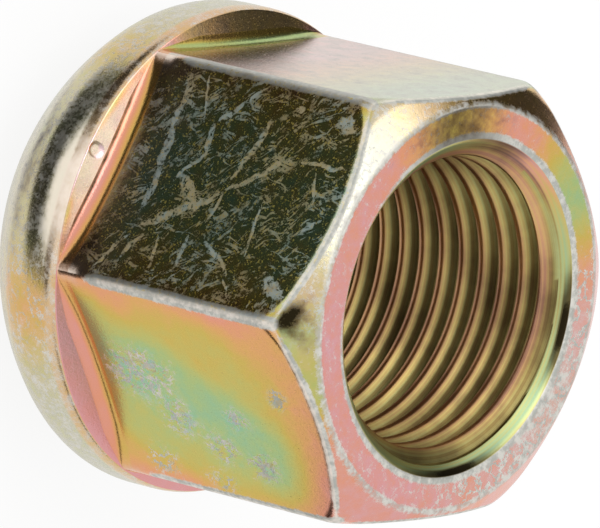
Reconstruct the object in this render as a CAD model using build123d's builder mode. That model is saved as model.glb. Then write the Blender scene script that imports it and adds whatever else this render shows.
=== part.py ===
from build123d import *
import os
from math import cos, radians, sqrt, tan

# A wheel lug nut, forged and tapped as one piece of steel. The axis is +Z, and the nut stands on
# the ring at its seat end, with the wrench face up. Lengths in millimetres, angles in degrees.

# Hexagon
across_flats = 24.0
corner_round = 0.8

# Wrench face, a turned circle just inside the flats
overall_height = 25.5
face_inset = 0.5
corner_chamfer_angle = 35.0

# Bore, left plain at the minor diameter of its 18 mm thread with a pitch of 1.5 mm
bore_diameter = 16.376
wrench_countersink_width = 1.362
seat_countersink_width = 1.212
countersink_angle = 45.0

# Collar, a little proud of the hexagon's corners, with a bevelled edge
shoulder_ledge = 0.07
collar_bevel_width = 0.15
collar_bevel_height = 0.4
collar_height = 3.2
shoulder_angle = 16.0
shoulder_fillet = 0.9

# Ball seat, from the ring at the end up to the collar, where it is blended
seat_ring_width = 0.77
ball_beyond_collar = 2.05
collar_blend_share = 0.92

# Sizes that follow from those above
half_corner_angle = radians(30)
flat_distance = across_flats / 2
face_radius = flat_distance - face_inset
corner_radius = (flat_distance - corner_round) / cos(half_corner_angle) + corner_round
shoulder_radius = corner_radius + shoulder_ledge
collar_radius = shoulder_radius + collar_bevel_width
ball_radius = collar_radius + ball_beyond_collar
bore_radius = bore_diameter / 2
wrench_mouth_radius = bore_radius + wrench_countersink_width
seat_mouth_radius = bore_radius + seat_countersink_width
seat_ring_radius = seat_mouth_radius + seat_ring_width
ball_centre_height = sqrt(ball_radius**2 - seat_ring_radius**2)
collar_foot = ball_centre_height - sqrt(ball_radius**2 - collar_radius**2)
collar_blend = (collar_radius - seat_ring_radius) * collar_blend_share
shoulder_height = collar_foot + collar_height
shoulder_slope = tan(radians(shoulder_angle))
shoulder_apex = shoulder_height + shoulder_radius * shoulder_slope
blank_radius = across_flats
blank_edge_height = shoulder_height - (blank_radius - shoulder_radius) * shoulder_slope
chamfer_foot = overall_height - (shoulder_radius - face_radius) * tan(radians(corner_chamfer_angle))
seat_countersink_depth = seat_countersink_width / tan(radians(countersink_angle))
wrench_countersink_depth = wrench_countersink_width / tan(radians(countersink_angle))

with BuildPart() as lug_nut:
    # A flat cone, wider than the collar, is the shoulder that the flats run down to
    with BuildSketch(Plane.YZ):
        with BuildLine():
            Polyline(
                (0, 0),
                (blank_radius, 0),
                (blank_radius, blank_edge_height),
                (0, shoulder_apex),
                close=True,
            )
        make_face()
    revolve(axis=Axis.Z)

    # The hexagon stands on the shoulder, its corners rounded
    with BuildSketch() as hexagon:
        RegularPolygon(radius=flat_distance, side_count=6, major_radius=False)
        fillet(hexagon.vertices(), radius=corner_round)
    extrude(amount=overall_height)

    # The forged fillet at the foot of the flats and the corners
    foot_edges = (
        edges()
        .filter_by(GeomType.LINE, reverse=True)
        .filter_by_position(Axis.Z, blank_edge_height, overall_height, inclusive=(False, False))
    )
    fillet(foot_edges, radius=shoulder_fillet)

    # The outer form, turned: ball seat, collar with its bevel, and chamfer of the wrench face
    with BuildSketch(Plane.YZ) as outer_form:
        with BuildLine():
            seat_curve = RadiusArc((seat_ring_radius, 0), (collar_radius, collar_foot), -ball_radius)
            Polyline(
                seat_curve @ 1,
                (collar_radius, shoulder_height - collar_bevel_height),
                (shoulder_radius, shoulder_height),
                (shoulder_radius, chamfer_foot),
                (face_radius, overall_height),
                (0, overall_height),
                (0, 0),
                seat_curve @ 0,
            )
        make_face()
        collar_corner = outer_form.vertices().sort_by_distance((collar_radius, collar_foot))[0]
        fillet(collar_corner, radius=collar_blend)
    revolve(axis=Axis.Z, mode=Mode.INTERSECT)

    # The bore, with a countersink at each end
    with BuildSketch(Plane.YZ):
        with BuildLine():
            Polyline(
                (0, 0),
                (seat_mouth_radius, 0),
                (bore_radius, seat_countersink_depth),
                (bore_radius, overall_height - wrench_countersink_depth),
                (wrench_mouth_radius, overall_height),
                (0, overall_height),
                close=True,
            )
        make_face()
    revolve(axis=Axis.Z, mode=Mode.SUBTRACT)

lug_nut.part.label = "lug_nut"
os.makedirs("parts", exist_ok=True)
export_step(lug_nut.part, "parts/lug_nut.step")
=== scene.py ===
"""Looks of a worn, yellow-plated lug nut: its threaded mesh, its finish, the studio and the camera.

Sizes are millimetres and angles degrees until a mesh or an object is placed, which is in metres.
"""

from __future__ import annotations

import logging
import math
from dataclasses import dataclass, field
from enum import Enum
from functools import reduce
from typing import Callable, Optional, Union

import bpy
import numpy as np
from mathutils import Matrix, Vector


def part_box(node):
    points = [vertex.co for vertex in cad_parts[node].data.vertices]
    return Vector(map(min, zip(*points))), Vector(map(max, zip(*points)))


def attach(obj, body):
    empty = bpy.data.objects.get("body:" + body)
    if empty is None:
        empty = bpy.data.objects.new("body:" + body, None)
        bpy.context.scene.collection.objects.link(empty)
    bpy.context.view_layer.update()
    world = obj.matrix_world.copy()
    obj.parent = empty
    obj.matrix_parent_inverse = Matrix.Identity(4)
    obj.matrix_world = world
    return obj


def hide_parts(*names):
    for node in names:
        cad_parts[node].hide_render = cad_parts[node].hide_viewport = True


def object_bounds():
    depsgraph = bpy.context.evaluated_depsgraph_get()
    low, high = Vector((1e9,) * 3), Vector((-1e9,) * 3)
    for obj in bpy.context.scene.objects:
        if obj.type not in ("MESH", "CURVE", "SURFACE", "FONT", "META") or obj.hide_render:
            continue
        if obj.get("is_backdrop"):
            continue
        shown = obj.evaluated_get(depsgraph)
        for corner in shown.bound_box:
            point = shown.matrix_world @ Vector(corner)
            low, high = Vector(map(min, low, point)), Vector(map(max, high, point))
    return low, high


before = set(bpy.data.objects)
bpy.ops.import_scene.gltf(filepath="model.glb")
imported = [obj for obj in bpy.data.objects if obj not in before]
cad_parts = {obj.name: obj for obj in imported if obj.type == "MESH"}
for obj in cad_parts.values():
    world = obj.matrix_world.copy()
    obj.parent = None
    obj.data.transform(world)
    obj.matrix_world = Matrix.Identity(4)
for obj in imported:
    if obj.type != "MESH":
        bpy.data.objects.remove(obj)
cad_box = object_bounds()

log = logging.getLogger("lug_nut")
MM = 0.001
PHOTO_WIDTH = 600
PHOTO_HEIGHT = 528
SEXTANT = 60
HALF_SEXTANT = SEXTANT // 2

Colour = tuple[float, float, float]
Array = np.ndarray
Values = Union[float, np.ndarray]
Operand = Union["Signal", float, int]


def srgb(red: int, green: int, blue: int) -> Colour:
    """A colour as seen on a screen, each part 0 to 255, in the linear values that shaders use."""
    parts = []
    for value in (red / 255, green / 255, blue / 255):
        parts.append(value / 12.92 if value <= 0.04045 else ((value + 0.055) / 1.055) ** 2.4)
    return tuple(parts)


def ease(value: Array, low: float, high: float) -> Array:
    """Rise smoothly from 0 at low to 1 at high; with high below low, fall instead."""
    share = np.clip((np.asarray(value, float) - low) / (high - low), 0, 1)
    return share * share * (3 - 2 * share)


def bell(value: Array, centre: float, width: float) -> Array:
    """A soft hump of height 1 at centre, down to about a third at one width from it."""
    return np.exp(-(((np.asarray(value, float) - centre) / width) ** 2))


def turn_between(angle: Array, centre: float) -> Array:
    """The signed angle in degrees from centre to angle, between -180 and 180."""
    return (np.asarray(angle, float) - centre + 180) % 360 - 180


def near(angle: Array, centre: float, width: float) -> Array:
    """A soft hump about a direction, in degrees."""
    return bell(turn_between(angle, centre), 0, width)


def largest(*values: Array) -> Array:
    """The largest of several values at each point."""
    return np.maximum.reduce(np.broadcast_arrays(*values))


class Zone(Enum):
    """The surfaces of the nut, in the order in which a section meets them from the bore's mouth."""

    MOUTH = "mouth"
    FACE = "face"
    CHAMFER = "chamfer"
    FLAT = "flat"
    FILLET = "fillet"
    SHOULDER = "shoulder"
    RIM = "rim"
    COLLAR = "collar"
    BALL = "ball"
    RING = "ring"
    SEAT = "seat"


class Layer(Enum):
    """What each point of the mesh tells its finish."""

    FILM = "film"
    WEAR = "wear"
    PALE = "pale"
    TARNISH_AND_SHADE = "tarnish"
    SCUFF = "scuff"
    VEINS = "veins"
    CHALK_AND_HIGHLIGHT = "chalk"
    INSIDE = "inside"


class Signal:
    """A shader socket that takes part in Python expressions, each of which adds a Math node."""

    def __init__(self, bench: Bench, socket: bpy.types.NodeSocket) -> None:
        """Wrap a socket of the bench's node tree."""
        self.bench = bench
        self.socket = socket

    def _math(self, operation: str, first: Operand, second: Optional[Operand] = None) -> Signal:
        """Add one Math node, with one or two values, and give its result."""
        inputs = {0: first} if second is None else {0: first, 1: second}
        return self.bench.node("ShaderNodeMath", {"operation": operation}, inputs).out(0)

    def __add__(self, other: Operand) -> Signal:
        """Sum of two values."""
        return self._math("ADD", self, other)

    def __radd__(self, other: Operand) -> Signal:
        """Sum with a number on the left."""
        return self._math("ADD", other, self)

    def __sub__(self, other: Operand) -> Signal:
        """Difference of two values."""
        return self._math("SUBTRACT", self, other)

    def __rsub__(self, other: Operand) -> Signal:
        """Difference from a number on the left."""
        return self._math("SUBTRACT", other, self)

    def __mul__(self, other: Operand) -> Signal:
        """Product of two values."""
        return self._math("MULTIPLY", self, other)

    def __rmul__(self, other: Operand) -> Signal:
        """Product with a number on the left."""
        return self._math("MULTIPLY", other, self)

    def __abs__(self) -> Signal:
        """Size of a value without its sign."""
        return self._math("ABSOLUTE", self)

    def most(self, other: Operand) -> Signal:
        """The larger of two values."""
        return self._math("MAXIMUM", self, other)

    def least(self, other: Operand) -> Signal:
        """The smaller of two values."""
        return self._math("MINIMUM", self, other)

    def rise(self, low: float, high: float) -> Signal:
        """Rise smoothly from 0 at low to 1 at high; with high below low, fall instead."""
        falls = low > high
        bounds = {"From Min": min(low, high), "From Max": max(low, high)}
        ends = {"To Min": 1.0 if falls else 0.0, "To Max": 0.0 if falls else 1.0}
        settings = {"interpolation_type": "SMOOTHSTEP"}
        return self.bench.node("ShaderNodeMapRange", settings, {"Value": self, **bounds, **ends}).out(0)


class Made:
    """A node that has been made, whose outputs are read as signals."""

    def __init__(self, bench: Bench, node: bpy.types.Node) -> None:
        """Keep the node beside its bench."""
        self.bench = bench
        self.node = node

    def out(self, key: Union[str, int]) -> Signal:
        """The output of that name or number."""
        return Signal(self.bench, self.node.outputs[key])


class Bench:
    """A node tree in the making."""

    def __init__(self, tree: bpy.types.NodeTree) -> None:
        """Empty the tree, so that only what is added here is in it."""
        self.tree = tree
        tree.nodes.clear()

    def node(self, kind: str, settings: Optional[dict] = None, inputs: Optional[dict] = None) -> Made:
        """Make a node of any kind.

        Args:
            kind: The node's type.
            settings: Its properties, which are set first; "stops" are the positions and colours
                of a colour ramp.
            inputs: Its sockets by name or number, each a plain value or a signal to link.

        Returns:
            The node.
        """
        made = self.tree.nodes.new(kind)
        for name, value in (settings or {}).items():
            if name == "stops":
                self._set_stops(made.color_ramp, value)
            else:
                setattr(made, name, value)
        for key, value in (inputs or {}).items():
            if isinstance(value, Signal):
                self.tree.links.new(value.socket, made.inputs[key])
            else:
                made.inputs[key].default_value = value
        return Made(self, made)

    @staticmethod
    def _set_stops(ramp: bpy.types.ColorRamp, stops: list[tuple[float, Colour]]) -> None:
        """Give a colour ramp its stops, which are in rising order."""
        while len(ramp.elements) < len(stops):
            ramp.elements.new(1.0)
        for element, (position, colour) in zip(ramp.elements, stops):
            element.position = position
            element.color = (*colour, 1.0)

    def mix(self, share: Operand, first: Union[Signal, Colour], second: Union[Signal, Colour]) -> Signal:
        """Mix two colours; share is how much of the second one shows, 0 to 1."""
        first, second = [c if isinstance(c, Signal) else (*c, 1.0) for c in (first, second)]
        return self.node("ShaderNodeMix", {"data_type": "RGBA"}, {0: share, 6: first, 7: second}).out(2)

    def scaled(self, vector: Signal, factors: tuple[float, float, float]) -> Signal:
        """Multiply a vector's parts by three numbers."""
        return self.vector("MULTIPLY", vector, factors).out(0)

    def vector(self, operation: str, *inputs: Union[Signal, tuple[float, float, float]]) -> Made:
        """Add one Vector Math node, with its inputs in order."""
        return self.node("ShaderNodeVectorMath", {"operation": operation}, dict(enumerate(inputs)))

    def turned(self, vector: Signal, axis: tuple[float, float, float], angle: float) -> Signal:
        """Turn a vector about an axis through the origin, by an angle in degrees."""
        inputs = {"Vector": vector, "Axis": axis, "Angle": math.radians(angle)}
        return self.node("ShaderNodeVectorRotate", {"rotation_type": "AXIS_ANGLE"}, inputs).out(0)

    def noise(self, vector: Signal, scale: float, detail: float = 2.0, rough: float = 0.5) -> Signal:
        """Cloudy noise about 0.5, with so many finer layers of that strength."""
        inputs = {"Vector": vector, "Scale": scale, "Detail": detail, "Roughness": rough}
        return self.node("ShaderNodeTexNoise", {}, inputs).out(0)

    def attribute(self, name: str) -> Signal:
        """A value that the mesh carries at each of its points."""
        return self.node("ShaderNodeAttribute", {"attribute_name": name}).out("Fac")

    def glow(self, level: float) -> Signal:
        """An even grey light."""
        inputs = {"Color": (level, level, level, 1.0), "Strength": 1.0}
        return self.node("ShaderNodeEmission", {}, inputs).out(0)

    def show(self, surface: Signal) -> None:
        """End a material with its surface."""
        self.node("ShaderNodeOutputMaterial", {}, {"Surface": surface})


def new_paint(name: str) -> tuple[bpy.types.Material, Bench]:
    """An empty material, and the bench on which its nodes are made."""
    made = bpy.data.materials.new(name)
    made.use_nodes = True
    return made, Bench(made.node_tree)


def new_object(name: str, data: bpy.types.ID) -> bpy.types.Object:
    """Make an object and link it to the scene."""
    made = bpy.data.objects.new(name, data)
    bpy.context.scene.collection.objects.link(made)
    return made


def turn_to(made: bpy.types.Object, way: Vector) -> None:
    """Turn an object so that its Z axis looks one way."""
    made.rotation_mode = "QUATERNION"
    made.rotation_quaternion = way.to_track_quat("Z", "Y")


@dataclass(frozen=True)
class FilmColours:
    """Colours of the chromate film on zinc, from its thinnest to its thickest."""

    teal: Colour = srgb(146, 188, 150)
    green: Colour = srgb(168, 189, 126)
    lime: Colour = srgb(190, 186, 106)
    ochre: Colour = srgb(204, 178, 88)
    orange: Colour = srgb(221, 167, 102)
    salmon: Colour = srgb(226, 154, 122)
    pink: Colour = srgb(221, 156, 153)
    lilac: Colour = srgb(216, 166, 180)

    def stops(self) -> list[tuple[float, Colour]]:
        """The colours as ramp stops over the film's thickness, 0 to 1."""
        return [
            (0.00, self.teal),
            (0.14, self.green),
            (0.28, self.lime),
            (0.42, self.ochre),
            (0.58, self.orange),
            (0.72, self.salmon),
            (0.86, self.pink),
            (1.00, self.lilac),
        ]


@dataclass(frozen=True)
class Stroke:
    """One scratch or blotch on a flat, from a place along it and a height to another."""

    start: tuple[float, float]
    end: tuple[float, float]
    width: float

    def distance(self, bench: Bench, sheet: Signal) -> Signal:
        """How far a point is from the scratch.

        Args:
            bench: The material's nodes.
            sheet: Coordinates laid flat on each surface.

        Returns:
            The distance, 0 in the middle of the scratch and 1 on the slim oval that bounds it.
        """
        run, rise = self.end[0] - self.start[0], self.end[1] - self.start[1]
        inputs = {
            "Vector": sheet,
            "Location": ((self.start[0] + self.end[0]) / 2, (self.start[1] + self.end[1]) / 2, 0.0),
            "Rotation": (0.0, 0.0, math.atan2(rise, run)),
            "Scale": (math.hypot(run, rise) / 2 + self.width, self.width, 1.0),
        }
        laid = bench.node("ShaderNodeMapping", {"vector_type": "TEXTURE"}, inputs).out(0)
        return bench.vector("LENGTH", laid).out("Value")


# The marks on the dark flat, placed one by one
FRONT_STROKES = (
    Stroke((3.2, 11.9), (0.2, 16.8), 0.3),
    Stroke((0.2, 16.8), (-2.8, 20.6), 0.2),
    Stroke((-6.6, 16.7), (-3.4, 13.9), 0.16),
    Stroke((-3.5, 13.9), (-1.8, 14.3), 0.2),
    Stroke((-1.8, 14.3), (0.0, 13.0), 0.14),
    Stroke((-6.0, 10.9), (-2.8, 11.2), 0.26),
    Stroke((-2.8, 11.2), (-0.4, 11.6), 0.3),
    Stroke((-0.4, 11.6), (2.1, 11.6), 0.24),
    Stroke((-6.2, 12.0), (-3.7, 13.0), 0.1),
    Stroke((-4.2, 17.7), (-0.7, 16.9), 0.22),
    Stroke((-2.4, 21.1), (-2.6, 24.2), 0.13),
    Stroke((0.2, 16.8), (2.1, 16.3), 0.1),
    Stroke((0.0, 13.6), (1.4, 15.2), 0.42),
    Stroke((6.1, 10.1), (3.9, 11.6), 0.14),
    Stroke((5.4, 11.6), (3.6, 12.6), 0.12),
    Stroke((5.4, 14.0), (3.5, 13.6), 0.11),
    Stroke((5.1, 15.7), (3.0, 15.7), 0.11),
    Stroke((0.5, 24.0), (1.6, 22.8), 0.14),
    Stroke((-1.8, 22.5), (-0.2, 23.1), 0.12),
    Stroke((5.0, 19.3), (6.2, 20.2), 0.1),
    Stroke((3.1, 16.9), (4.7, 19.4), 0.2),
    Stroke((0.4, 19.6), (3.4, 20.0), 0.12),
    Stroke((-5.3, 22.8), (-5.2, 23.2), 0.5),
    Stroke((-5.5, 19.25), (-5.5, 19.4), 0.24),
    Stroke((4.8, 22.6), (5.1, 23.3), 0.6),
)


@dataclass(frozen=True)
class PlatedFinish:
    """Yellow zinc plating: an iridescent film, worn to grey metal on edges, scratched and spotted, with
    painted shade and highlights that the mesh's layers carry.
    """

    film: FilmColours = field(default_factory=FilmColours)
    bare_zinc: Colour = srgb(220, 218, 210)
    dull_zinc: Colour = srgb(184, 185, 178)
    pale_film: Colour = srgb(214, 208, 196)
    # Pale matt colour of worn edges, and of painted highlights on the rim, the collar and the front
    # flat's corner feet
    chalk: Colour = srgb(248, 238, 226)
    cool_scratch: Colour = srgb(190, 202, 206)
    warm_scratch: Colour = srgb(206, 194, 166)
    gold_speck: Colour = srgb(214, 192, 96)
    # Colour of stains, and of painted shade and dark reflections
    tarnish: Colour = srgb(66, 52, 30)
    spot: Colour = srgb(40, 34, 20)
    film_roughness: float = 0.2
    worn_roughness: float = 0.46
    scratch_roughness: float = 0.66
    smooth_inside: float = 0.75
    cloud_scale: float = 0.2
    mottle_scale: float = 1.1
    fleck_scale: float = 3.2
    grain_scale: float = 8.0
    ring_scale: float = 5.0
    network_scale: float = 0.95
    wander: float = 0.9
    wander_scale: float = 0.55
    line_ways: tuple[tuple[float, float], ...] = ((58.0, 1.3), (34.0, 1.1), (100.0, 0.9))

    def lines(self, bench: Bench, sheet: Signal, angle: float, density: float) -> Signal:
        """Thin scratches that run one way over each surface and break off.

        Args:
            bench: The material's nodes.
            sheet: Coordinates laid flat on each surface.
            angle: Which way the coordinates are turned before the lines are drawn along them.
            density: Lines across each millimetre, roughly.

        Returns:
            A mask, 1 along the lines.
        """
        laid = bench.turned(sheet, (0.0, 0.0, 1.0), angle)
        across = abs(bench.noise(bench.scaled(laid, (0.12, 1.0, 1.0)), density, 3.0, 0.65) - 0.5)
        broken = bench.noise(laid, 0.5, 5.0, 0.75).rise(0.49, 0.56)
        return across.rise(0.035, 0.012) * broken

    def scratches(self, bench: Bench, sheet: Signal, scuff: Signal) -> Signal:
        """Scratches, clumps of them and squiggles, where the mesh says that the surface is scuffed.

        Args:
            bench: The material's nodes.
            sheet: Coordinates laid flat on each surface.
            scuff: How scuffed the surface is.

        Returns:
            A mask, 1 where the surface is scratched.
        """
        inputs = {"Vector": sheet, "Scale": self.wander_scale, "Detail": 2.0}
        wander = bench.node("ShaderNodeTexNoise", {}, inputs).out(1)
        bent = bench.vector("MULTIPLY_ADD", wander, (self.wander, self.wander, 0.0), sheet).out(0)
        bent = bench.vector("ADD", bent, (-self.wander / 2, -self.wander / 2, 0.0)).out(0)
        long_lines = reduce(Signal.most, [self.lines(bench, bent, *way) for way in self.line_ways])
        drawn_out = bench.scaled(bench.turned(bent, (0.0, 0.0, 1.0), 52.0), (0.16, 1.0, 1.0))
        clumps = bench.noise(drawn_out, 0.8, 6.0, 0.75).rise(0.52, 0.585)
        squiggles = abs(bench.noise(bent, 1.1, 3.0, 0.6) - 0.5).rise(0.05, 0.015)
        rubbed = bench.noise(sheet, 0.9, 4.0, 0.7).rise(0.5, 0.62)
        ragged = bench.noise(sheet, 2.4, 5.0, 0.75) - 0.5
        distance = reduce(Signal.least, [stroke.distance(bench, bent) for stroke in FRONT_STROKES])
        drawn = (distance.rise(1.7, 0.2) * (0.62 + ragged * 2.4)).rise(0.2, 0.42)
        clumped = clumps * (ragged + 0.5).rise(0.46, 0.56) * 0.85
        marks = (long_lines * 0.9).most(clumped) * scuff.rise(0.2, 0.8)
        marks = marks.most(squiggles.most(clumps) * rubbed * scuff.rise(0.75, 0.95))
        return marks.most(drawn * scuff.rise(0.55, 0.65))

    def material(self) -> bpy.types.Material:
        """Make the material, which reads the layers that the mesh carries."""
        made, bench = new_paint("worn_yellow_plating")
        place = bench.scaled(bench.node("ShaderNodeTexCoord").out("Object"), (1 / MM, 1 / MM, 1 / MM))
        sheet = bench.node("ShaderNodeAttribute", {"attribute_name": "sheet"}).out("Vector")
        layers = [bench.attribute(layer.value) for layer in Layer]
        film, wear, pale, tarnish, scuff, veins, chalk, inside = layers
        outer = 1.0 - inside

        texture = 1.0 - inside * self.smooth_inside
        clouds = bench.noise(place, self.cloud_scale, 3.0, 0.5) - 0.5
        mottle = (bench.noise(place, self.mottle_scale, 4.0, 0.6) - 0.5) * texture
        fleck = (bench.noise(place, self.fleck_scale, 4.0, 0.7) - 0.5) * texture
        grain = (bench.noise(place, self.grain_scale, 3.0, 0.65) - 0.5) * texture

        from_axis = bench.vector("LENGTH", bench.scaled(place, (1.0, 1.0, 0.0))).out("Value")
        ring_place = bench.node("ShaderNodeCombineXYZ", {}, {0: from_axis}).out(0)
        rings = (bench.noise(ring_place, self.ring_scale, 3.0, 0.7) - 0.5) * inside

        thickness = film + clouds * 0.3 + mottle * (0.08 + scuff * 0.75)
        thickness = thickness + fleck * scuff * 0.4 + rings * 1.1
        stops = {"stops": self.film.stops()}
        film_colour = bench.node("ShaderNodeValToRGB", stops, {0: thickness}).out(0)
        haze = (pale + mottle * 0.4 + fleck * 0.3).rise(0.0, 1.0)
        hazed = bench.mix(haze, film_colour, self.pale_film)

        network = abs(bench.noise(place, self.network_scale, 4.0, 0.62) - 0.5).rise(0.055, 0.02)
        peeled = wear.most(network * veins)
        worn = (peeled + mottle * 0.5 + fleck * 0.6 + grain * 0.4).rise(0.32, 0.68)
        zinc = bench.mix((mottle + fleck + 0.5).rise(0.35, 0.68), self.dull_zinc, self.bare_zinc)
        plated = bench.mix(worn, hazed, zinc)

        scratched = self.scratches(bench, sheet, scuff) * (fleck + grain + 0.5).rise(0.25, 0.5) * outer
        warmth = (mottle + clouds + 0.5).rise(0.42, 0.58)
        scratch_colour = bench.mix(warmth, self.cool_scratch, self.warm_scratch)
        marked = bench.mix(scratched * 0.82, plated, scratch_colour)
        specks = (grain + fleck * 0.8).rise(0.09, 0.17) * scuff.rise(0.3, 0.7) * outer
        specked = bench.mix(specks * 0.7, marked, self.gold_speck)

        # Stains and painted shade both darken the surface towards the tarnish colour
        blotched = tarnish + mottle * (0.7 + scuff) + fleck * 0.4 + rings * 1.2 + clouds * inside
        stained = bench.mix(blotched.rise(0.1, 1.0) * 0.9, specked, self.tarnish)
        spots = (tarnish * 0.55 + mottle * 0.5 + grain * 0.5).rise(0.5, 0.6)
        spotted = bench.mix(spots, stained, self.spot)
        # Pale matt patches: worn grey edges, and painted highlights on the rim, the collar and the front
        # flat's corner feet
        chalk_and_highlight_share = (chalk + mottle * 0.5 + fleck * 0.4).rise(0.1, 1.0)
        colour = bench.mix(chalk_and_highlight_share, spotted, bench.mix(0.82, film_colour, self.chalk))

        roughness = self.film_roughness + worn * (self.worn_roughness - self.film_roughness)
        roughness = roughness.most(scratched.most(chalk_and_highlight_share) * self.scratch_roughness).most(specks * 0.5)
        roughness = roughness + grain.rise(0.08, 0.2) * outer * 0.12 + inside * 0.17

        height = grain * 0.5 + fleck * 0.5 + mottle * 0.5
        relief = {"Strength": 0.55, "Distance": 0.02 * MM, "Height": height}
        inputs = {
            "Base Color": colour,
            "Metallic": 1.0 - chalk_and_highlight_share * 0.95,
            "Roughness": roughness,
            "Normal": bench.node("ShaderNodeBump", {}, relief).out(0),
        }
        bench.show(bench.node("ShaderNodeBsdfPrincipled", {}, inputs).out(0))
        return made


@dataclass
class Outline:
    """Rows of the nut's section, each with a radius and a height for every column round the axis."""

    rows: list[Array] = field(default_factory=list)
    zones: list[Zone] = field(default_factory=list)

    def add(self, zone: Zone, points: Array) -> None:
        """Put one row at the end."""
        self.rows.append(points)
        self.zones.append(zone)

    def line(self, zone: Zone, start: Array, end: Array, count: int) -> None:
        """Add rows between two points, closer together near both ends.

        Args:
            zone: The surface that the rows are on.
            start: Point that comes before the first row.
            end: Point that comes after the last row.
            count: How many rows.
        """
        for step in range(1, count + 1):
            share = (1 - math.cos(math.pi * step / (count + 1))) / 2
            self.add(zone, start + (end - start) * share)

    def round(self, zones: tuple[Zone, Zone], start: Array, corner: Array, end: Array,
              count: int) -> None:
        """Add the rows of a rounded corner, with both of its ends.

        Args:
            zones: The surfaces before and after the corner.
            start: Where the round leaves the first surface.
            corner: The sharp corner.
            end: Where the round meets the second surface.
            count: How many steps the round has.
        """
        before = (corner - start) / np.linalg.norm(corner - start, axis=1, keepdims=True)
        after = (end - corner) / np.linalg.norm(end - corner, axis=1, keepdims=True)
        pull = np.sqrt(np.clip((1 + (before * after).sum(axis=1, keepdims=True)) / 2, 0, 1))
        for step in range(count + 1):
            share = step / count
            weights = ((1 - share) ** 2, 2 * share * (1 - share) * pull, share**2)
            point = weights[0] * start + weights[1] * corner + weights[2] * end
            self.add(zones[0] if step * 2 < count else zones[1], point / sum(weights))


@dataclass
class Hexagon:
    """The hexagon with its rounded corners and the chamfer of its wrench face."""

    across_flats: float = 24.0
    corner_round: float = 0.8
    face_inset: float = 0.5
    chamfer_angle: float = 35.0
    corner_steps: int = 4
    flat_steps: int = 18

    @property
    def flat_distance(self) -> float:
        """From the axis to a flat."""
        return self.across_flats / 2

    @property
    def face_radius(self) -> float:
        """Radius of the flat wrench face."""
        return self.flat_distance - self.face_inset

    @property
    def corner_centre(self) -> float:
        """From the axis to the centre of a corner's round."""
        return (self.flat_distance - self.corner_round) / math.cos(math.radians(HALF_SEXTANT))

    @property
    def corner_reach(self) -> float:
        """Half the angle, seen from the axis, that a corner's round takes up."""
        sideways = self.corner_round * math.sin(math.radians(HALF_SEXTANT))
        outward = self.corner_centre + self.corner_round * math.cos(math.radians(HALF_SEXTANT))
        return math.degrees(math.atan2(sideways, outward))

    def columns(self) -> Array:
        """Angles of the mesh's columns from 0 to 360, close together at the corners."""
        corner = np.linspace(0, self.corner_reach, self.corner_steps + 1)
        share = np.arange(1, self.flat_steps + 1) / self.flat_steps
        flat = self.corner_reach + (HALF_SEXTANT - self.corner_reach) * share**1.5
        half = np.concatenate([corner, flat])
        sextant = np.concatenate([half, SEXTANT - half[-2:0:-1]])
        return np.concatenate([sextant + SEXTANT * number for number in range(6)])

    def radius_at(self, angle: Array) -> Array:
        """From the axis to the hexagon's wall, at angles round the axis; a corner is at 0."""
        from_corner = np.asarray(angle, float) % SEXTANT
        from_corner = np.radians(np.minimum(from_corner, SEXTANT - from_corner))
        wall = self.flat_distance / np.cos(math.radians(HALF_SEXTANT) - from_corner)
        swing = self.corner_centre * np.sin(from_corner)
        rest = np.sqrt(np.clip(self.corner_round**2 - swing**2, 0, None))
        rounded = self.corner_centre * np.cos(from_corner) + rest
        return np.where(np.degrees(from_corner) < self.corner_reach, rounded, wall)

    def from_middle(self, angle: Array) -> Array:
        """The signed angle from the middle of the nearest flat."""
        return np.asarray(angle, float) % SEXTANT - HALF_SEXTANT

    def corner_gap(self, angle: Array) -> Array:
        """How far along the flat the nearest corner is."""
        half_flat = self.flat_distance * math.tan(math.radians(HALF_SEXTANT))
        swing = np.radians(np.abs(self.from_middle(angle)))
        return half_flat - self.flat_distance * np.tan(swing)

    def side(self, angle: Array) -> Array:
        """The number of the flat at an angle: 0 faces -Y, counted up anticlockwise seen from above."""
        middle = np.asarray(angle, float) - self.from_middle(angle)
        return np.round(turn_between(middle, -90) / SEXTANT).astype(int)


@dataclass
class Dimple:
    """A small round mark in the shoulder before the flat that faces -Y."""

    angle: float = -90.3
    radius: float = 13.3
    across: float = 0.98
    depth: float = 0.07
    edge: float = 0.16
    column_reach: float = 2.75
    column_step: float = 0.25

    def columns(self) -> Array:
        """Angles of the columns that are added for the mark."""
        reach = np.arange(-self.column_reach, self.column_reach + 0.01, self.column_step)
        return reach + self.angle % 360

    def sink(self, points: Array) -> Array:
        """How far the mark lowers each point of the shoulder."""
        spin = math.radians(self.angle)
        centre = self.radius * np.array([math.cos(spin), math.sin(spin)])
        gap = np.linalg.norm(points[:, :2] - centre, axis=1)
        return self.depth * ease(gap, self.across / 2, self.across / 2 - self.edge)


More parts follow.
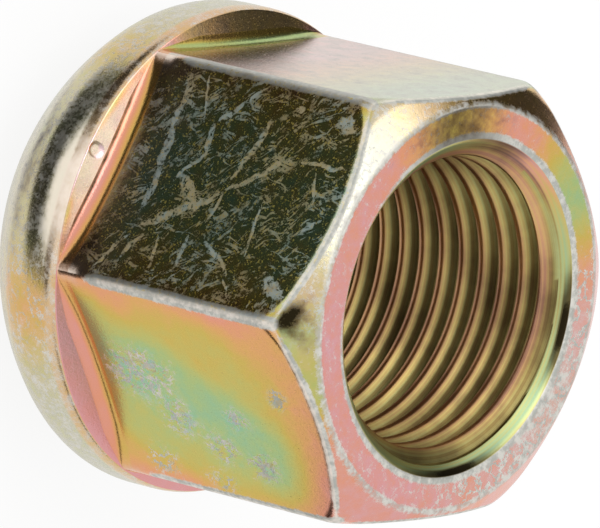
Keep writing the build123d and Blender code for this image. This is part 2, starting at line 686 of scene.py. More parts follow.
@dataclass
class Collar:
    """The collar under the hexagon: shoulder, rim, blend and ball seat."""

    radius: float
    shoulder_radius: float = 13.803
    shoulder_height: float = 7.719
    shoulder_angle: float = 16.0
    foot_fillet: float = 0.9
    edge_round: float = 0.06
    rim_tilt: float = 25.0
    ball_radius: float = 16.003
    ring_radius: float = 10.17
    blend_radius: float = 3.48

    def shoulder_at(self, radius: Array) -> Array:
        """Height of the sloping shoulder at a radius."""
        slope = math.tan(math.radians(self.shoulder_angle))
        return self.shoulder_height + (self.shoulder_radius - radius) * slope

    @property
    def rim_round(self) -> float:
        """Radius of the round from the shoulder's sharp edge to the collar's side."""
        return (self.radius - self.shoulder_radius) / (1 - math.cos(math.radians(self.rim_tilt)))

    def rim_at(self, tilt: float) -> tuple[float, float]:
        """Radius and height of the rim's round where its surface is tilted so far up."""
        foot = self.shoulder_height - self.rim_round * math.sin(math.radians(self.rim_tilt))
        out = self.radius - self.rim_round * (1 - math.cos(math.radians(tilt)))
        return out, foot + self.rim_round * math.sin(math.radians(tilt))

    @property
    def ball_centre(self) -> float:
        """Height of the centre of the ball seat."""
        return math.sqrt(self.ball_radius**2 - self.ring_radius**2)

    @property
    def blend_centre(self) -> tuple[float, float]:
        """Radius and height of the centre of the blend between ball and collar."""
        out = self.radius - self.blend_radius
        return out, self.ball_centre - math.sqrt((self.ball_radius - self.blend_radius) ** 2 - out**2)


@dataclass
class Bore:
    """The threaded hole with a countersink at each end."""

    minor_radius: float = 8.188
    major_radius: float = 9.0
    pitch: float = 1.5
    wrench_mouth: float = 9.55
    seat_mouth: float = 9.4
    crest_share: float = 0.25
    root_share: float = 0.125
    clearance: float = 0.02
    start: float = -0.22

    def turn_profile(self) -> list[tuple[float, float]]:
        """One turn of the thread.

        Returns:
            Shares of the pitch from the middle of a crest, each with its radius.
        """
        depth = self.major_radius - self.minor_radius
        crest = self.crest_share / 2
        root = 0.5 - self.root_share / 2
        half = [
            (0.0, 0.0),
            (crest * 0.7, 0.02),
            (crest * 1.15, 0.09),
            (crest + (root - crest) * 0.5, 0.5),
            (root * 0.96, 0.92),
            (root * 1.06, 0.995),
        ]
        other = [(1 - share, rise) for share, rise in reversed(half[1:])]
        return [(share, self.minor_radius + depth * rise) for share, rise in half + other]


@dataclass
class Coat:
    """The state of the plating on one row of points, one value for each layer."""

    film: Values = 0.4
    wear: Values = 0.0
    pale: Values = 0.0
    tarnish: Values = -0.1
    scuff: Values = 0.1
    veins: Values = 0.0
    chalk: Values = -0.4
    inside: Values = 0.0

    def values(self, layer: Layer, count: int) -> Array:
        """One layer's value at each of so many points."""
        return np.broadcast_to(np.asarray(getattr(self, layer.value), float), (count,))


class Side(Enum):
    """The flats that the photograph shows, by their number round the axis."""

    TOP = -1
    FRONT = 0
    YELLOW = 1


# Rubbed patches of a yellow flat: place along it, height and reach
RUBBED_PATCHES = (
    (-0.9, 10.9, 1.5),
    (1.8, 13.9, 1.2),
    (3.3, 16.6, 0.9),
    (0.9, 18.8, 0.8),
    (-1.2, 12.9, 1.2),
    (3.9, 19.5, 1.0),
    (-1.4, 22.4, 0.7),
    (5.3, 11.4, 1.0),
    (5.7, 15.6, 0.8),
)


@dataclass
class Plating:
    """Where the plating is thick, thin, worn, stained and scuffed, and where shade and highlights are
    painted on, read from the photograph.
    """

    hexagon: Hexagon
    collar: Collar
    bore: Bore
    height: float

    def coat(self, zone: Zone, row: Array, angle: Array) -> Coat:
        """The plating's state on one row of points.

        Args:
            zone: The surface that the row is on.
            row: Radius and height on each column.
            angle: The columns' angles.

        Returns:
            The state.
        """
        radius, height = row[:, 0], row[:, 1]
        if zone is Zone.FLAT:
            return self.flat(radius, height, angle)
        if zone is Zone.FACE:
            return self.face(radius, angle)
        if zone is Zone.CHAMFER:
            return self.chamfer(radius, angle)
        if zone is Zone.FILLET:
            return self.fillet(radius, angle)
        if zone is Zone.SHOULDER:
            return self.shoulder(radius, angle)
        if zone in (Zone.RIM, Zone.COLLAR, Zone.BALL):
            return self.round_end(zone, height, angle)
        if zone is Zone.RING:
            return Coat(film=0.5, wear=0.5, pale=0.4, scuff=0.4)
        return self.countersink(zone, radius, angle)

    def corner_wear(self, angle: Array) -> Array:
        """Wear along the hexagon's corners, most on the corner itself."""
        return 1.3 * bell(self.hexagon.corner_gap(angle), 0.05, 0.4)

    def flat(self, radius: Array, height: Array, angle: Array) -> Coat:
        """The six flats: green in the middle, gold and orange towards the edges."""
        along = radius * np.sin(np.radians(self.hexagon.from_middle(angle)))
        side = self.hexagon.side(angle)
        front, top = side == Side.FRONT.value, side == Side.TOP.value
        slope = math.tan(math.radians(self.hexagon.chamfer_angle))
        below_chamfer = self.height - (radius - self.hexagon.face_radius) * slope - height
        corner_gap = self.hexagon.corner_gap(angle)
        hidden = (side < Side.TOP.value) | (side > Side.YELLOW.value)
        along_marks = np.where(hidden, -along + 0.9 * side, along)
        height_marks = np.where(hidden, 31.0 - height + 0.6 * side, height)
        film = self.green_band(along_marks, height_marks) + 0.2 * bell(corner_gap, 0, 1.5)
        film = film + 0.16 * bell(np.hypot(along_marks + 4.6, height_marks - 11.0), 0, 2.2)
        edge_film = 0.62 + 0.16 * ease(along_marks, -1.0, 6.0)
        film = film + (edge_film - film) * ease(below_chamfer, 4.2, 0.3)
        front_film = 0.13 + 0.3 * (np.abs(along) / 6.4) ** 2 + 0.15 * ease(height, 11.5, 9)
        film = np.where(front, front_film, film)
        film = np.where(top, 0.12 + 0.75 * ease(height, 23, 12), film)
        foot = ease(height, 10.4, 9.2)
        web = bell(corner_gap, 0, 0.8) * ease(height, 10.0, 8.9)
        edge_stain = 0.35 * bell(corner_gap, 0, 1.5) * (1 - foot)
        film = film + (0.66 - film) * web
        smooth_edge = top | (front & (along < 0))
        edge_grey = 0.85 * bell(corner_gap, 0.05, 0.32) * (1 - foot) * ~smooth_edge
        chamfer_grey = 0.95 * bell(below_chamfer, 0.16, 0.32)
        chamfer_wear = 1.1 * bell(below_chamfer, 0, 0.24)
        rubbed = sum(
            bell(np.hypot(along_marks - place, height_marks - level), 0, 1.1 * reach)
            for place, level, reach in RUBBED_PATCHES
        )
        scuff = np.where(front, 0.7, np.where(top, 0.0, 0.12 + 0.9 * rubbed))
        return Coat(
            film=film,
            wear=np.maximum(self.corner_wear(angle) * (1 - foot), chamfer_wear),
            pale=front * (0.06 + 0.3 * ease(height, 14, 10.5)) + 0.58 * top + 0.3 * web,
            tarnish=front * (0.11 + 0.6 * foot * (1 - web) + edge_stain) + 0.4 * top - 0.1,
            scuff=scuff * (1 - web),
            veins=np.where(front | top, 0.0, 0.15 + 0.8 * np.clip(rubbed, 0, 1)),
            # The front flat's corner feet are made pale and matt: a painted highlight where their gloss
            # would show the dark card
            chalk=largest(1.1 * web * front, edge_grey, chamfer_grey) - 0.4,
        )

    @staticmethod
    def green_band(along: Array, height: Array) -> Array:
        """Film on a flat: thin along a slanting band, thicker to both of its sides."""
        off = (along + 3.6 - (height - 9.8) / 1.83) * 0.878
        above = 0.32 * ease(-off, 0.5, 2.8) + 0.15 * ease(-off, 4.0, 7.2)
        below = 0.22 * ease(off, 1.0, 4.6) + 0.2 * ease(off, 5.8, 7.8)
        return 0.07 + above + below

    def face(self, radius: Array, angle: Array) -> Coat:
        """The wrench face: pink, with a bare rim at the bore, green and peeled patches."""
        inner = 1.3 * bell(radius, self.bore.wrench_mouth + 0.1, 0.3)
        inner = inner * (1 - 0.7 * near(angle, -80, 48))
        outer = 0.75 * bell(radius, self.hexagon.face_radius, 0.28)
        green = near(angle, 152, 21)
        peeled = near(angle, 84, 46)
        brown = near(angle, -143, 24)
        return Coat(
            film=0.84 - 0.69 * green - 0.36 * brown,
            wear=largest(inner, outer, 0.47 * peeled),
            pale=0.08 + 0.35 * peeled - 0.1 * green,
            tarnish=0.85 * brown - 0.1,
            scuff=0.3,
            veins=0.35 + 0.65 * peeled - 0.3 * green,
        )

    def chamfer(self, radius: Array, angle: Array) -> Coat:
        """The chamfer: cream over the front corner, then stained, green and pink round to the right."""
        down = self.hexagon.radius_at(angle) - radius
        cream = near(angle, -99, 36)
        stain = near(angle, -61.5, 4.0) * bell(down, 0.5, 0.55)
        olive = near(angle, -58, 7)
        olive_stain = olive * ease(down, 0.2, 1.0)
        green = near(angle, -42, 12)
        brown = near(angle, -165, 28)
        tips = bell(down, 0, 0.7) * bell(self.hexagon.corner_gap(angle), 0, 0.4)
        inner = bell(radius, self.hexagon.face_radius, 0.4)
        return Coat(
            film=0.8 - 0.5 * cream - 0.3 * olive - 0.5 * green - 0.3 * brown,
            wear=largest(1.1 * bell(down, 0, 0.26), 0.7 * tips, 0.6 * inner),
            pale=0.15 + 0.6 * cream - 0.1 * green,
            tarnish=1.25 * stain + 0.42 * cream + 0.35 * olive_stain + 0.05 * brown - 0.1,
            scuff=0.2 + 0.5 * near(angle, -62, 7),
            veins=0.25 + 0.4 * cream,
        )

    def fillet(self, radius: Array, angle: Array) -> Coat:
        """The fillet at the foot of the flats: gold beside the flat, salmon beside the shoulder, with a
        painted dark reflection line on the front side and painted highlights at its front corners.
        """
        out = radius - self.hexagon.radius_at(angle)
        side = self.hexagon.side(angle)
        top_film = 0.16 + 0.3 * ease(out, 0.2, 0.4)
        film = np.where(side == Side.TOP.value, top_film, 0.5 + 0.26 * ease(out, 0.0, 0.25))
        # A thin dark line along the front fillet: a painted dark reflection
        painted_dark_line = 1.05 * bell(out, 0.56, 0.16) * (side == Side.FRONT.value)
        web = bell(self.hexagon.corner_gap(angle), 0, 0.9)
        return Coat(
            film=film + (0.66 - film) * web,
            pale=0.3 * web,
            tarnish=painted_dark_line * (1 - web) - 0.1,
            scuff=0.0,
            # Pale and matt at the front corners: a painted highlight
            chalk=1.0 * web * (side == Side.FRONT.value) - 0.4,
        )

    def shoulder(self, radius: Array, angle: Array) -> Coat:
        """The shoulder: pale pink, green at the tips and along part of the edge, darkened on the top
        side as a painted dark reflection.
        """
        side = self.hexagon.side(angle)
        front, top = side == Side.FRONT.value, side == Side.TOP.value
        tips = bell(self.hexagon.corner_gap(angle), 1.0, 1.0)
        edge = bell(radius, self.collar.shoulder_radius, 0.35)
        green_edge = edge * np.maximum(near(angle, -103, 8), near(angle, -74, 5))
        front_film = 1.12 - 0.5 * tips - 0.7 * green_edge
        film = np.where(front, front_film, np.where(top, 0.5 + 0.3 * tips, 0.9))
        pale = np.where(front, 0.44, np.where(top, 0.3, 0.08))
        # Darker on the top side: a painted dark reflection
        return Coat(film=film, pale=pale, tarnish=0.45 * top * (1 - tips) - 0.1, scuff=0.0)

    def round_end(self, zone: Zone, height: Array, angle: Array) -> Coat:
        """Rim, collar and ball seat: grey with worn film, and a pale matt streak along the rim that is a
        painted highlight.
        """
        highlight_streak = near(angle, -80, 19)
        gold = np.maximum(near(angle, -50, 14), 0.6 * near(angle, -118, 10))
        low = ease(height, 5.6, 6.9)
        brown = near(angle, -84, 26) * bell(height, 3.9, 1.2)
        if zone is Zone.RIM:
            # The rim's pale, worn band is partly real wear and partly a painted highlight of its rounded
            # edge; the streak is a painted highlight
            return Coat(film=0.55, wear=0.4, pale=0.4, chalk=0.95 * highlight_streak - 0.05, veins=0.4)
        if zone is Zone.COLLAR:
            return Coat(
                film=0.32 + 0.22 * gold,
                wear=0.48 - 0.2 * gold - 0.3 * brown,
                pale=0.55 - 0.35 * gold,
                tarnish=0.75 * brown - 0.1,
                # The streak runs on over the top of the collar: a painted highlight
                chalk=1.4 * highlight_streak * low - 0.1,
                scuff=0.3,
                veins=0.5,
            )
        return Coat(
            film=0.34 + 0.1 * gold,
            wear=0.45 - 0.3 * brown,
            pale=0.6 - 0.2 * gold,
            tarnish=0.75 * brown - 0.1,
            chalk=-0.2,
            scuff=0.3,
            veins=0.5,
        )

    def countersink(self, zone: Zone, radius: Array, angle: Array) -> Coat:
        """The countersinks: green and peach, with black stains at the wrench end and a band of painted
        shadow on that cone's inner edge.
        """
        if zone is Zone.SEAT:
            return Coat(film=0.4, wear=0.2, pale=0.2, inside=1.0)
        stains = np.maximum(near(angle, 108, 19), near(angle, 36, 22))
        # A dark band on the inner edge of the cone, about 165 degrees round: painted shadow of the
        # groove
        groove_shadow = ease(radius, 9.28, 9.06) * near(angle, 165, 36)
        upper = near(angle, -165, 22)
        return Coat(
            film=0.16 + 0.6 * near(angle, 178, 28),
            pale=0.25,
            tarnish=largest(1.2 * stains * ease(radius, 9.12, 9.3), 0.7 * groove_shadow, 0.7 * upper),
            inside=1.0,
        )

    def thread(self, share: Array) -> Coat:
        """The thread, by share of the pitch from a crest: olive gold, pinker on its crests, darkened as
        painted shade, most in its roots.
        """
        crest = np.cos(share * 2 * math.pi)
        return Coat(
            film=0.36 + 0.3 * ease(crest, 0.2, 1.0),
            pale=0.25,
            # Painted shade inside the bore, darker towards the roots
            tarnish=0.55 - 0.12 * crest,
            scuff=0.0,
            inside=1.0,
        )


@dataclass(frozen=True)
class Steps:
    """How many rows or steps the mesh spends on each stretch of the section."""

    mouth: int = 5
    mouth_round: int = 5
    face: int = 5
    face_round: int = 4
    chamfer: int = 6
    chamfer_round: int = 6
    flat: int = 15
    fillet: int = 9
    shoulder: int = 11
    edge_round: int = 3
    rim: int = 8
    collar: int = 3
    blend: int = 7
    ball: int = 13
    ring_round: int = 4
    seat: int = 2


@dataclass
class LugNut:
    """The nut as one closed mesh, with its thread, and the finish values that its points carry."""

    height: float
    collar: Collar
    hexagon: Hexagon = field(default_factory=Hexagon)
    bore: Bore = field(default_factory=Bore)
    dimple: Dimple = field(default_factory=Dimple)
    steps: Steps = field(default_factory=Steps)
    mouth_round: float = 0.25
    face_round: float = 0.22
    chamfer_round: float = 0.3
    tip_round: float = 0.75
    tip_width: float = 1.1
    ring_round: float = 0.14

    def columns(self) -> Array:
        """Angles of all the mesh's columns, in rising order."""
        every = np.concatenate([self.hexagon.columns(), self.dimple.columns()])
        return np.unique(np.round(every, 4))

    def section(self, angle: Array) -> Outline:
        """The rows of the outside, from the thread at the wrench face to the thread at the seat.

        Args:
            angle: The columns' angles.

        Returns:
            The rows, with the surface that each is on.
        """
        def point(radius: Values, height: Values) -> Array:
            """A point on every column."""
            both = [np.broadcast_to(value, angle.shape) for value in (radius, height)]
            return np.stack(both, axis=1)

        def along(start: Array, end: Array, length: Values) -> Array:
            """The point at a length from start towards end."""
            way = end - start
            length = np.broadcast_to(length, angle.shape)[:, None]
            return start + way / np.linalg.norm(way, axis=1, keepdims=True) * length

        wall = self.hexagon.radius_at(angle)
        slope = math.tan(math.radians(self.hexagon.chamfer_angle))
        thread_end = self.height - self.bore.wrench_mouth + self.bore.major_radius
        thread_top = point(self.bore.major_radius, thread_end)
        mouth = point(self.bore.wrench_mouth, self.height)
        face_edge = point(self.hexagon.face_radius, self.height)
        chamfer_edge = point(wall, self.height - (wall - self.hexagon.face_radius) * slope)
        foot = point(wall, self.collar.shoulder_at(wall))
        edge = point(self.collar.shoulder_radius, self.collar.shoulder_height)
        ball_foot = point(self.collar.ring_radius, 0)
        seat_mouth = point(self.bore.seat_mouth, 0)
        thread_foot = point(self.bore.major_radius, self.bore.seat_mouth - self.bore.major_radius)

        shoulder_length = np.linalg.norm(edge - foot, axis=1)
        half_bend = math.radians((90 - self.collar.shoulder_angle) / 2)
        fillet_up = self.collar.foot_fillet * math.tan(half_bend)
        fillet_out = np.minimum(fillet_up, shoulder_length * 0.5)
        edge_in = np.minimum(self.collar.edge_round, shoulder_length * 0.3)
        tips = bell(self.hexagon.corner_gap(angle), 0, self.tip_width)
        edge_down = self.chamfer_round + self.tip_round * tips
        chamfer_length = np.linalg.norm(chamfer_edge - face_edge, axis=1)
        edge_up = np.minimum(edge_down, (chamfer_length - self.face_round) * 0.85)

        steps = self.steps
        corners = (thread_top, mouth, face_edge, chamfer_edge, foot, edge)
        bends = (
            (Zone.MOUTH, Zone.FACE, self.mouth_round, self.mouth_round, steps.mouth, steps.mouth_round),
            (Zone.FACE, Zone.CHAMFER, self.face_round, self.face_round, steps.face, steps.face_round),
            (Zone.CHAMFER, Zone.FLAT, edge_up, edge_down, steps.chamfer, steps.chamfer_round),
            (Zone.FLAT, Zone.FILLET, fillet_up, fillet_out, steps.flat, steps.fillet),
        )
        made = Outline()
        made.add(Zone.MOUTH, thread_top)
        last = thread_top
        for number, (before, after, length_in, length_out, rows, bend) in enumerate(bends, 1):
            corner = corners[number]
            bend_start = along(corner, corners[number - 1], length_in)
            bend_end = along(corner, corners[number + 1], length_out)
            made.line(before, last, bend_start, rows)
            first = Zone.FILLET if after is Zone.FILLET else before
            made.round((first, after), bend_start, corner, bend_end, bend)
            last = bend_end
        edge_start = along(edge, foot, edge_in)
        made.line(Zone.SHOULDER, last, edge_start, steps.shoulder)
        rim_steps = np.linspace(self.collar.rim_tilt, 0, steps.rim)
        rim = [point(*self.collar.rim_at(tilt)) for tilt in rim_steps]
        made.round((Zone.SHOULDER, Zone.RIM), edge_start, edge, rim[1], steps.edge_round)
        for row in rim[2:]:
            made.add(Zone.RIM, row)
        blend_start = point(self.collar.radius, self.collar.blend_centre[1])
        made.line(Zone.COLLAR, rim[-1], blend_start, steps.collar)
        self.add_ball(made, point, ball_foot, seat_mouth)
        seat_out = along(seat_mouth, ball_foot, self.ring_round)
        seat_in = along(seat_mouth, thread_foot, self.ring_round)
        made.round((Zone.RING, Zone.SEAT), seat_out, seat_mouth, seat_in, steps.ring_round)
        made.line(Zone.SEAT, seat_in, thread_foot, steps.seat)
        made.add(Zone.SEAT, thread_foot)
        return made

    def add_ball(self, made: Outline, point: Callable, ball_foot: Array,
                 seat_mouth: Array) -> None:
        """Add the blend, the ball seat and the round of its lower edge.

        Args:
            made: The rows so far, which end on the collar.
            point: Gives a radius and a height to every column.
            ball_foot: Where the ball meets the ring at the seat end.
            seat_mouth: The inner edge of that ring.
        """
        blend_out, blend_up = self.collar.blend_centre
        centre = self.collar.ball_centre
        tilt = math.atan2(centre - blend_up, blend_out)
        for turn in np.linspace(0, tilt, self.steps.blend):
            radius = blend_out + self.collar.blend_radius * math.cos(turn)
            made.add(Zone.COLLAR, point(radius, blend_up - self.collar.blend_radius * math.sin(turn)))
        size = self.collar.ball_radius
        end_tilt = math.asin(centre / size) - self.ring_round / size
        ball = [
            point(size * math.cos(turn), centre - size * math.sin(turn))
            for turn in np.linspace(tilt, end_tilt, self.steps.ball)
        ]
        for row in ball[1:-1]:
            made.add(Zone.BALL, row)
        inner = ball_foot + (seat_mouth - ball_foot) * 0.25
        made.round((Zone.BALL, Zone.RING), ball[-1], ball_foot, inner, self.steps.ring_round)

    def thread_points(self, angle: Array) -> tuple[list[Array], list[int]]:
        """Points of the thread on each column, between the pure cones of the two countersinks.

        Args:
            angle: The columns' angles.

        Returns:
            For each column, its points as radius, height and share of the pitch, and the number of
            its first row.
        """
        profile = self.bore.turn_profile()
        low = self.bore.seat_mouth - self.bore.major_radius
        high = self.height - self.bore.wrench_mouth + self.bore.major_radius
        turns = int(self.height / self.bore.pitch) + 3
        rows = [(turn + share, radius, share) for turn in range(-2, turns) for share, radius in profile]
        columns = []
        firsts = []
        for one in angle:
            points = []
            first = None
            for number, (step, radius, share) in enumerate(rows):
                height = self.bore.start + self.bore.pitch * (step + one / 360)
                if low + self.bore.clearance < height < high - self.bore.clearance:
                    seat_cone = self.bore.seat_mouth - height
                    wrench_cone = self.bore.wrench_mouth - self.height + height
                    points.append((max(radius, seat_cone, wrench_cone), height, share))
                    first = number if first is None else first
            columns.append(np.array(points))
            firsts.append(first)
        return columns, firsts

    def mesh(self) -> bpy.types.Mesh:
        """Make the closed mesh.

        Returns:
            The mesh, in metres, with the values that its finish reads.
        """
        angle = self.columns()
        outline = self.section(angle)
        count = len(angle)
        spin = np.radians(angle)
        circle = np.stack([np.cos(spin), np.sin(spin)], axis=1)
        loops = [np.column_stack([circle * row[:, :1], row[:, 1]]) for row in outline.rows]
        outside = np.concatenate(loops)
        on_shoulder = np.repeat([zone is Zone.SHOULDER for zone in outline.zones], count)
        outside[:, 2] -= on_shoulder * self.dimple.sink(outside)
        faces = []
        for row in range(len(outline.rows) - 1):
            near, far = row * count, (row + 1) * count
            for column in range(count):
                after = (column + 1) % count
                faces.append((near + column, far + column, far + after, near + after))

        columns, firsts = self.thread_points(angle)
        inside = [
            np.column_stack([np.outer(points[:, 0], way), points[:, 1]])
            for points, way in zip(columns, circle)
        ]
        starts = len(outside) + np.concatenate([[0], np.cumsum([len(c) for c in columns])])
        bottom = (len(outline.rows) - 1) * count
        per_turn = len(self.bore.turn_profile())
        for column in range(count):
            after = (column + 1) % count
            shift = per_turn if after == 0 else 0
            faces.extend(self.thread_faces(column, after, shift, columns, firsts, starts, bottom))

        mesh = bpy.data.meshes.new("lug_nut_plated")
        every = np.concatenate([outside, *inside]) * MM
        mesh.from_pydata(every.tolist(), [], faces)
        mesh.polygons.foreach_set("use_smooth", [True] * len(mesh.polygons))
        self.carry(mesh, outline, angle, np.concatenate([c[:, 2] for c in columns]))
        mesh.update()
        return mesh

    @staticmethod
    def thread_faces(column: int, after: int, shift: int, columns: list[Array], firsts: list[int],
                     starts: Array, bottom: int) -> list[tuple[int, ...]]:
        """Faces of the thread between two neighbouring columns.

        Args:
            column: The first column.
            after: The column after it.
            shift: Rows by which the next column counts further, at the seam.
            columns: The thread's points on each column.
            firsts: The number of each column's first row.
            starts: Where each column's points start in the mesh.
            bottom: Where the outside's last row starts in the mesh; its first row starts at 0.

        Returns:
            The faces, each a loop of point numbers that faces the axis.
        """
        first_here, first_next = firsts[column], firsts[after] - shift
        last_here = first_here + len(columns[column]) - 1
        last_next = first_next + len(columns[after]) - 1

        def here(row: int) -> int:
            """Point of that row on the first column."""
            return int(starts[column]) + row - first_here

        def there(row: int) -> int:
            """Point of that row on the next column."""
            return int(starts[after]) + row - first_next

        low, high = max(first_here, first_next), min(last_here, last_next)
        made = []
        foot = [bottom + after, bottom + column]
        foot += [here(row) for row in range(first_here, low + 1)]
        foot += [there(row) for row in range(low, first_next - 1, -1)]
        made.append(tuple(foot))
        for row in range(low, high):
            made.append((there(row), here(row), here(row + 1), there(row + 1)))
        top = [column, after]
        top += [there(row) for row in range(last_next, high - 1, -1)]
        top += [here(row) for row in range(high, last_here + 1)]
        made.append(tuple(top))
        return made

    def sheet(self, zone: Zone, row: Array, angle: Array) -> Array:
        """Coordinates laid flat on a row's surface, along which scratches run.

        Args:
            zone: The surface that the row is on.
            row: Radius and height on each column.
            angle: The columns' angles.

        Returns:
            Place along a flat, height and a number of its own for each flat; elsewhere the plain place.
        """
        spin = np.radians(angle)
        if zone is Zone.FLAT:
            along = row[:, 0] * np.sin(np.radians(self.hexagon.from_middle(angle)))
            return np.column_stack([along, row[:, 1], 40.0 * self.hexagon.side(angle)])
        return np.column_stack([row[:, 0] * np.cos(spin), row[:, 0] * np.sin(spin), row[:, 1]])

    def carry(self, mesh: bpy.types.Mesh, outline: Outline, angle: Array,
              shares: Array) -> None:
        """Write on the mesh's points what the finish needs to know about them.

        Args:
            mesh: The mesh, whose points are the outside's rows and then the thread's columns.
            outline: The outside's rows.
            angle: The columns' angles.
            shares: For each point of the thread, its share of the pitch from a crest.
        """
        plating = Plating(self.hexagon, self.collar, self.bore, self.height)
        coats = [plating.coat(zone, row, angle) for zone, row in zip(outline.zones, outline.rows)]
        threaded = plating.thread(shares)
        for layer in Layer:
            values = [coat.values(layer, len(angle)) for coat in coats]
            values.append(threaded.values(layer, len(shares)))
            made = mesh.attributes.new(layer.value, "FLOAT", "POINT")
            made.data.foreach_set("value", np.concatenate(values).astype(np.float32))
        places = np.empty(len(mesh.vertices) * 3)
        mesh.vertices.foreach_get("co", places)
        sheets = [self.sheet(zone, row, angle) for zone, row in zip(outline.zones, outline.rows)]
        sheets.append(places.reshape(-1, 3)[len(angle) * len(outline.rows):] / MM)
        made = mesh.attributes.new("sheet", "FLOAT_VECTOR", "POINT")
        made.data.foreach_set("vector", np.concatenate(sheets).astype(np.float32).ravel())

    def build(self) -> bpy.types.Object:
        """Make the piece that stands for the CAD solid, and dress it."""
        piece = new_object("lug_nut_plated", self.mesh())
        piece.data.materials.append(PlatedFinish().material())
        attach(piece, "root")
        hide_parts("lug_nut")
        log.info("lug_nut_plated: %d faces", len(piece.data.polygons))
        return piece


@dataclass
class PhotoCamera:
    """The photograph's viewpoint, which looks down on the wrench face and is turned on its side."""

    azimuth: float = -73.8
    elevation: float = 40.53
    roll: float = 103.76
    distance: float = 719.1
    lens: float = 777.6
    sensor: float = 36.0
    face_column: float = 459.2
    face_line: float = 308.7

    def build(self, face_height: float) -> bpy.types.Object:
        """Place the camera.

        Args:
            face_height: Height of the wrench face, whose centre the photograph shows at a known pixel.

        Returns:
            The camera, which is also the scene's camera.
        """
        around, up_angle, tilt = (math.radians(a) for a in (self.azimuth, self.elevation, self.roll))
        back = Vector((
            math.cos(around) * math.cos(up_angle),
            math.sin(around) * math.cos(up_angle),
            math.sin(up_angle),
        ))
        level = Vector((0, 0, 1)).cross(back).normalized()
        steep = back.cross(level)
        right = math.cos(tilt) * level + math.sin(tilt) * steep
        upward = back.cross(right)
        focal = self.lens / self.sensor * PHOTO_WIDTH
        sideways = (self.face_column - PHOTO_WIDTH / 2) / focal
        downward = (self.face_line - PHOTO_HEIGHT / 2) / focal
        sight = (right * sideways - upward * downward - back).normalized()
        place = Vector((0, 0, face_height)) - sight * self.distance
        data = bpy.data.cameras.new("photo_camera")
        data.lens = self.lens
        data.sensor_width = self.sensor
        data.clip_start = 0.01
        data.clip_end = 100.0
        camera = new_object("photo_camera", data)
        turn = Matrix((right, upward, back)).transposed().to_4x4()
        camera.matrix_world = Matrix.Translation(place * MM) @ turn
        bpy.context.scene.camera = camera
        return camera


@dataclass(frozen=True)
class Card:
    """A dark sheet: its centre, the way that it faces, and its width and height."""

    name: str
    place: tuple[float, float, float]
    way: tuple[float, float, float]
    size: tuple[float, float]


@dataclass(frozen=True)
class Lamp:
    """A soft square lamp: how bright it looks, where 1 is white, its width, and the way to it."""

    name: str
    level: float
    size: float
    way: tuple[float, float, float]


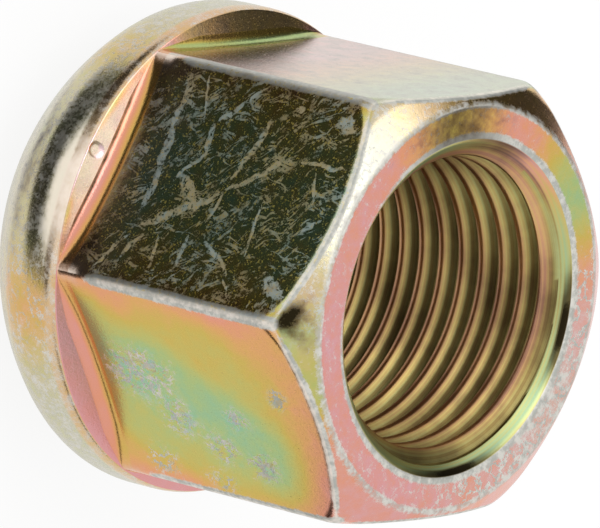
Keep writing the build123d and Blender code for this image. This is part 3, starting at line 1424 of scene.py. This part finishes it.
@dataclass
class Studio:
    """A pale floor, two soft lamps, even light all round and dark cards that only gloss shows."""

    floor_size: float = 6000.0
    floor_colour: Colour = (0.92, 0.92, 0.92)
    world_level: float = 0.95
    lamp_distance: float = 560.0
    shadow_share: float = 0.14
    card_grey: float = 0.048
    cards: tuple[Card, ...] = (
        Card("card_before_flat", (-6, -38.1, 0.3), (0, 0, 1), (46, 43.4)),
        Card("card_beside_flat", (70, 2, 0.3), (0, 0, 1), (54, 60)),
        Card("card_behind_collar", (-126, 78, 80), (0.84, -0.54, 0), (112, 190)),
    )
    lamps: tuple[Lamp, ...] = (
        Lamp("wide_lamp", 1.25, 420.0, (-0.45, -0.2, 0.87)),
        Lamp("small_lamp", 1.0, 200.0, (-0.22, -0.28, 0.93)),
    )

    def build(self) -> None:
        """Make the floor, the cards, the lamps and the world."""
        self.floor()
        for card in self.cards:
            self.card(card)
        for lamp in self.lamps:
            self.lamp(lamp)
        self.world()

    def sheet(self, name: str, size: tuple[float, float]) -> bpy.types.Object:
        """A flat sheet about its own centre, of a width and depth, that is part of the stage."""
        wide, deep = size[0] / 2 * MM, size[1] / 2 * MM
        mesh = bpy.data.meshes.new(name)
        corners = [(-wide, -deep, 0), (wide, -deep, 0), (wide, deep, 0), (-wide, deep, 0)]
        mesh.from_pydata(corners, [], [(0, 1, 2, 3)])
        made = new_object(name, mesh)
        made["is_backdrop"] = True
        return made

    def floor(self) -> None:
        """Make the floor, white to the camera and in gloss, with the nut's shadow kept."""
        made = self.sheet("floor", (self.floor_size, self.floor_size))
        made.location.z = -0.02 * MM
        paint, bench = new_paint("floor_paint")
        path = bench.node("ShaderNodeLightPath")
        matt = bench.node("ShaderNodeBsdfDiffuse", {}, {"Color": (*self.floor_colour, 1.0)}).out(0)
        rays = [path.out(f"Is {kind} Ray") for kind in ("Camera", "Glossy", "Transmission")]
        share = reduce(Signal.most, rays) * (1 - self.shadow_share)
        bench.show(bench.node("ShaderNodeMixShader", {}, {0: share, 1: matt, 2: bench.glow(1.0)}).out(0))
        made.data.materials.append(paint)
        log.info("floor: %.1f m wide", self.floor_size * MM)

    def card(self, card: Card) -> None:
        """Make a dark card that only the nut's gloss sees."""
        made = self.sheet(card.name, card.size)
        made.location = Vector(card.place) * MM
        turn_to(made, Vector(card.way))
        for kind in ("camera", "diffuse", "transmission", "shadow", "volume_scatter"):
            setattr(made, f"visible_{kind}", False)
        paint, bench = new_paint(card.name)
        bench.show(bench.glow(self.card_grey))
        made.data.materials.append(paint)
        log.info("%s: %.0f by %.0f mm", card.name, *card.size)

    def lamp(self, lamp: Lamp) -> None:
        """Make a soft lamp that faces the nut."""
        data = bpy.data.lights.new(lamp.name, "AREA")
        data.shape = "SQUARE"
        data.size = lamp.size * MM
        data.energy = lamp.level * math.pi * (lamp.size * MM) ** 2
        made = new_object(lamp.name, data)
        way = Vector(lamp.way).normalized()
        made.location = way * self.lamp_distance * MM
        turn_to(made, way)
        log.info("%s: %.0f mm wide", lamp.name, lamp.size)

    def world(self) -> None:
        """Light the nut evenly from all round, and show white behind it."""
        made = bpy.data.worlds.new("studio_world")
        made.use_nodes = True
        bpy.context.scene.world = made
        bench = Bench(made.node_tree)
        path = bench.node("ShaderNodeLightPath")
        seen = path.out("Is Camera Ray").most(path.out("Is Transmission Ray"))
        level = self.world_level + seen * (1 - self.world_level)
        inputs = {"Color": (1.0, 1.0, 1.0, 1.0), "Strength": level}
        light = bench.node("ShaderNodeBackground", {}, inputs).out(0)
        bench.node("ShaderNodeOutputWorld", {}, {"Surface": light})


def note_sizes() -> None:
    """Gather the CAD model's box and the visual model's box, in metres, as plain lists."""
    boxes = {"cad": cad_box, "visual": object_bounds()}
    plain = {name: [list(corner) for corner in box] for name, box in boxes.items()}


def main() -> None:
    """Build the nut, the studio and the camera."""
    logging.basicConfig(level=logging.INFO, format="%(name)s: %(message)s")
    bpy.context.scene.view_settings.view_transform = "Standard"
    _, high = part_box("lug_nut")
    nut = LugNut(height=high.z / MM, collar=Collar(radius=high.x / MM))
    nut.build()
    Studio().build()
    PhotoCamera().build(nut.height)
    note_sizes()


if __name__ == "__main__":
    main()
